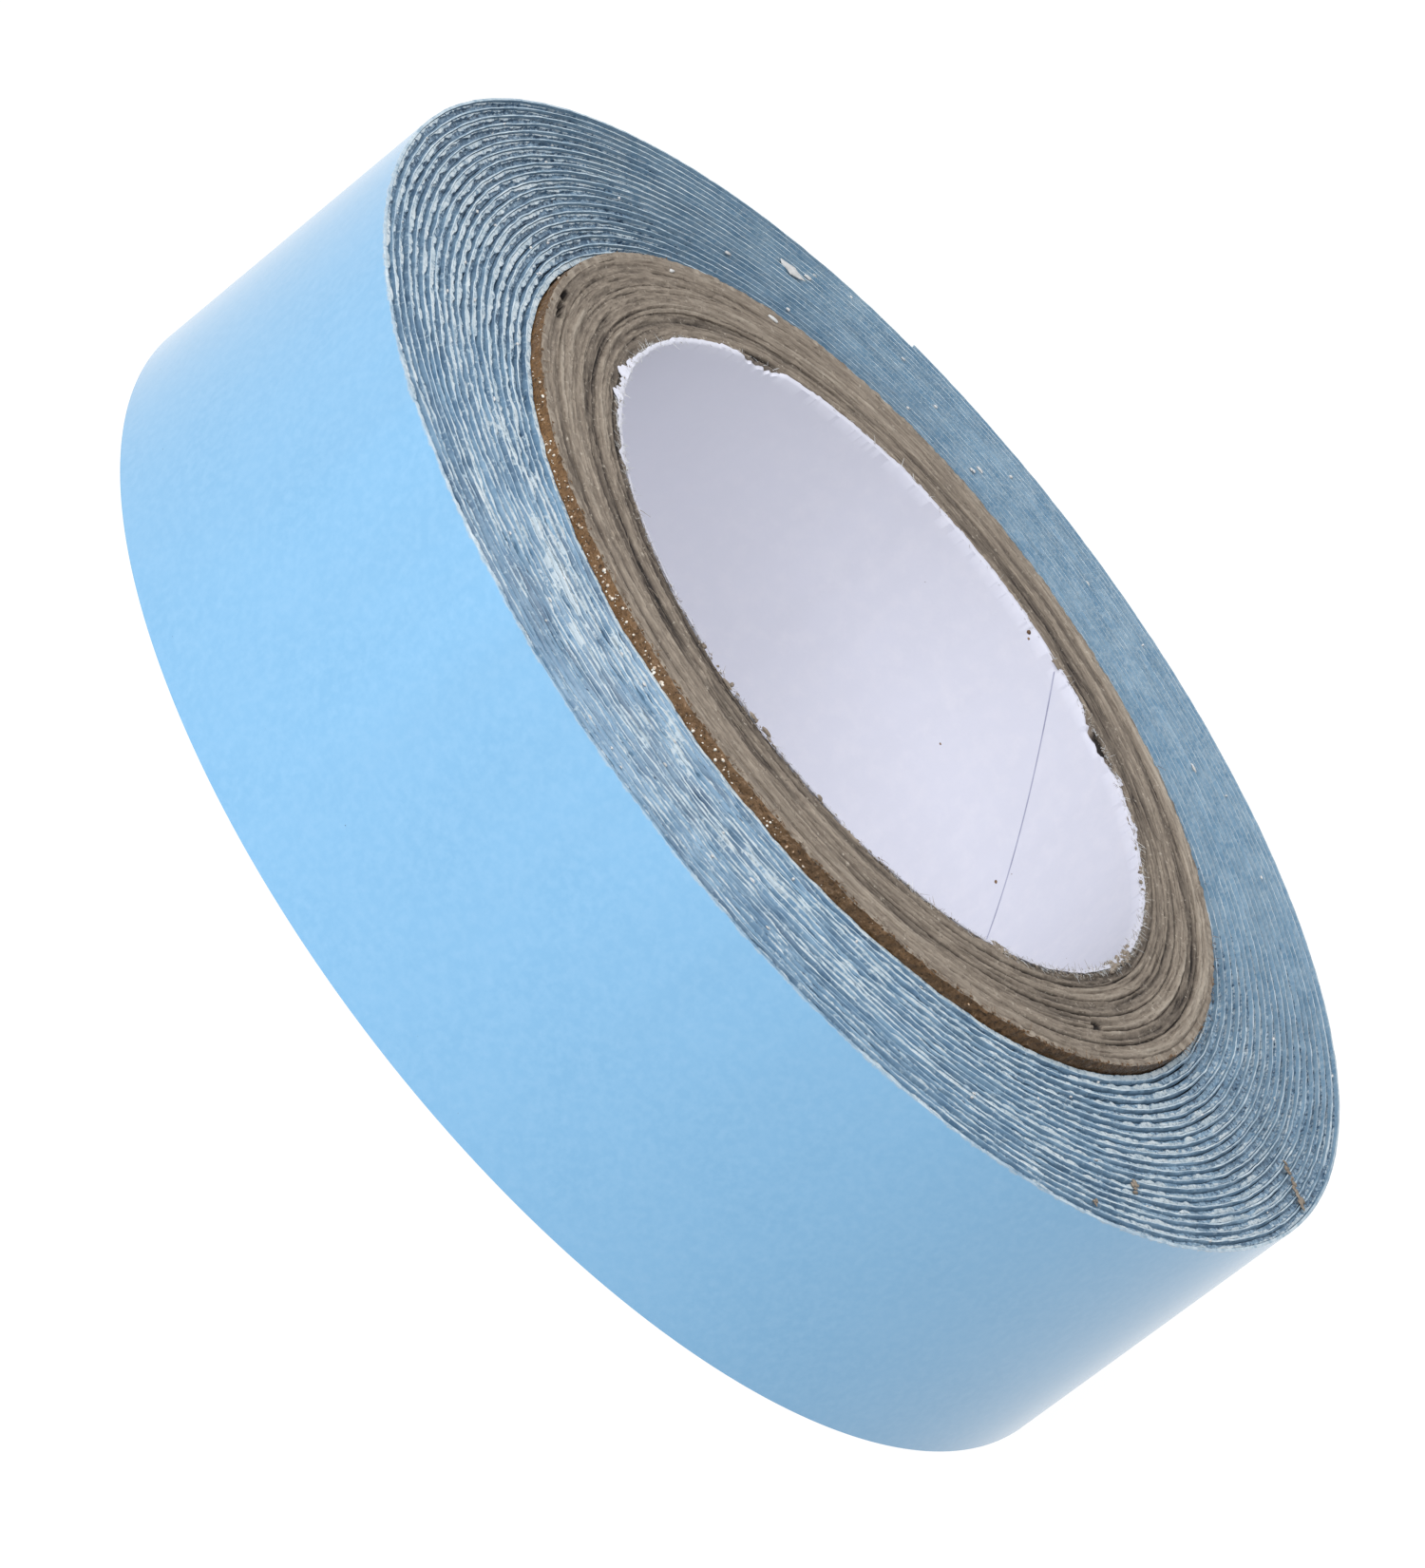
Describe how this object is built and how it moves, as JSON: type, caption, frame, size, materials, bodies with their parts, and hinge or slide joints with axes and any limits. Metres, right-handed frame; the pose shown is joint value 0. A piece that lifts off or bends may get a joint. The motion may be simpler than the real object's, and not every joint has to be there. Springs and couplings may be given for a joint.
{
  "type": "grip tape roll",
  "caption": "Roll of double-sided grip tape with a blue release liner on a thick paper core; the free end peels off and its liner tab lifts.",
  "frame": {"origin": "centre of the bore on the face that the roll lies on", "axes": "+Z along the roll's axis, towards the face that the core stands out of; -Y is the side away from the tape's free end"},
  "size_m": [0.0468, 0.0469, 0.0126],
  "materials": {
    "white_paper": "smooth white paper with a lavender cast and torn edges",
    "grey_board": "rough cut grey-brown board",
    "kraft_paper": "orange-brown kraft paper with traces of dried adhesive",
    "adhesive_tissue": "pale tacky adhesive on tissue",
    "blue_liner": "satin siliconised blue paper"
  },
  "bodies": {
    "roll": {"bore_lining": "white_paper", "core_ply_1": "grey_board", "core_ply_2": "grey_board", "core_ply_3": "grey_board", "core_ply_4": "grey_board", "core_ply_5": "grey_board", "core_ply_6": "grey_board", "kraft_ply": "kraft_paper", "adhesive_tape": "adhesive_tissue", "release_liner": "blue_liner"},
    "tape_end_1": {"adhesive_end_1": "adhesive_tissue", "liner_end_1": "blue_liner"},
    "tape_end_2": {"adhesive_end_2": "adhesive_tissue", "liner_end_2": "blue_liner"},
    "tape_end_3": {"adhesive_end_3": "adhesive_tissue", "liner_end_3": "blue_liner"},
    "tape_end_4": {"adhesive_end_4": "adhesive_tissue", "liner_end_4": "blue_liner"},
    "tape_end_5": {"adhesive_end_5": "adhesive_tissue", "liner_end_5": "blue_liner"},
    "liner_tab": {"liner_tab": "blue_liner"}
  },
  "joints": [
    {"name": "peel_1", "type": "hinge", "parent": "roll", "child": "tape_end_1", "pos_m": [0.02311, 0.00408, 0.00605], "axis": [0, 0, -1], "range_deg": [0, 24]},
    {"name": "peel_2", "type": "hinge", "parent": "tape_end_1", "child": "tape_end_2", "pos_m": [0.02034, 0.01174, 0.00605], "axis": [0, 0, -1], "range_deg": [0, 24]},
    {"name": "peel_3", "type": "hinge", "parent": "tape_end_2", "child": "tape_end_3", "pos_m": [0.01511, 0.01801, 0.00605], "axis": [0, 0, -1], "range_deg": [0, 24]},
    {"name": "peel_4", "type": "hinge", "parent": "tape_end_3", "child": "tape_end_4", "pos_m": [0.00805, 0.02211, 0.00605], "axis": [0, 0, -1], "range_deg": [0, 24]},
    {"name": "peel_5", "type": "hinge", "parent": "tape_end_4", "child": "tape_end_5", "pos_m": [0, 0.02354, 0.00605], "axis": [0, 0, -1], "range_deg": [0, 24]},
    {"name": "liner_lift", "type": "hinge", "parent": "tape_end_5", "child": "liner_tab", "pos_m": [-0.00409, 0.02319, 0.00605], "axis": [0, 0, -1], "range_deg": [0, 60]}
  ],
  "couplings": [
    {"joint": "peel_2", "follows": "peel_1", "ratio": 1},
    {"joint": "peel_3", "follows": "peel_1", "ratio": 1},
    {"joint": "peel_4", "follows": "peel_1", "ratio": 1},
    {"joint": "peel_5", "follows": "peel_1", "ratio": 1}
  ]
}
